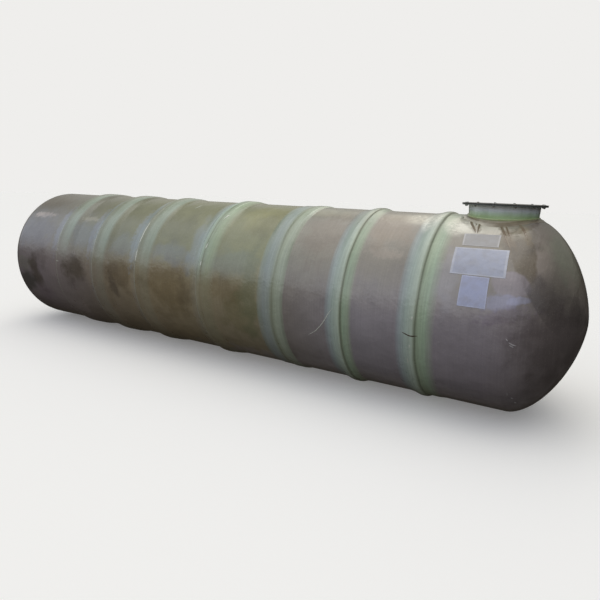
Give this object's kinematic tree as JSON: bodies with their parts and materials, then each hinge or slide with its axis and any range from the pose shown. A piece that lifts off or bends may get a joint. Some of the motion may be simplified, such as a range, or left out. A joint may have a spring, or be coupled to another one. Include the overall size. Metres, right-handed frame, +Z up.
{
  "type": "underground fuel tank",
  "caption": "Horizontal glass-fibre storage tank with dished ends, laminated ring ribs, a butt joint band and a round manway under a bolted lid.",
  "frame": {"origin": "on the floor, under the middle of the tank's length and width", "axes": "+X along the tank towards the manway end, +Z up, +Y to the side away from the labels"},
  "size_m": [7.706, 1.8812, 1.9776],
  "materials": {
    "grey_laminate": "grey polyester glass laminate, rolled resin gloss",
    "olive_laminate": "olive polyester glass laminate, rolled resin gloss",
    "mauve_laminate": "pinkish brown polyester glass laminate, rolled resin gloss",
    "rib_laminate": "pale green glass laminate, wet gloss with wound strands",
    "collar_laminate": "brown resin over glass mat",
    "neck_laminate": "blue-green glass laminate, glossy",
    "gasket_rubber": "black rubber sheet",
    "lid_paint": "black paint, dusty",
    "bolt_steel": "dull zinc",
    "label_sheet": "white film, under a thin coat of resin"
  },
  "bodies": {
    "root": {"left_end_dome": "grey_laminate", "left_barrel": "olive_laminate", "right_barrel": "mauve_laminate", "right_end_dome": "mauve_laminate", "joint_band": "rib_laminate", "rib_foot_1": "rib_laminate", "rib_foot_2": "rib_laminate", "rib_foot_3": "rib_laminate", "rib_foot_4": "rib_laminate", "rib_foot_5": "rib_laminate", "rib_foot_6": "rib_laminate", "rib_1": "rib_laminate", "rib_2": "rib_laminate", "rib_3": "rib_laminate", "rib_4": "rib_laminate", "rib_5": "rib_laminate", "rib_6": "rib_laminate", "manway_collar": "collar_laminate", "manway_neck": "neck_laminate", "manway_flange": "neck_laminate", "manway_gasket": "gasket_rubber", "manway_lid": "lid_paint"}
  },
  "joints": []
}
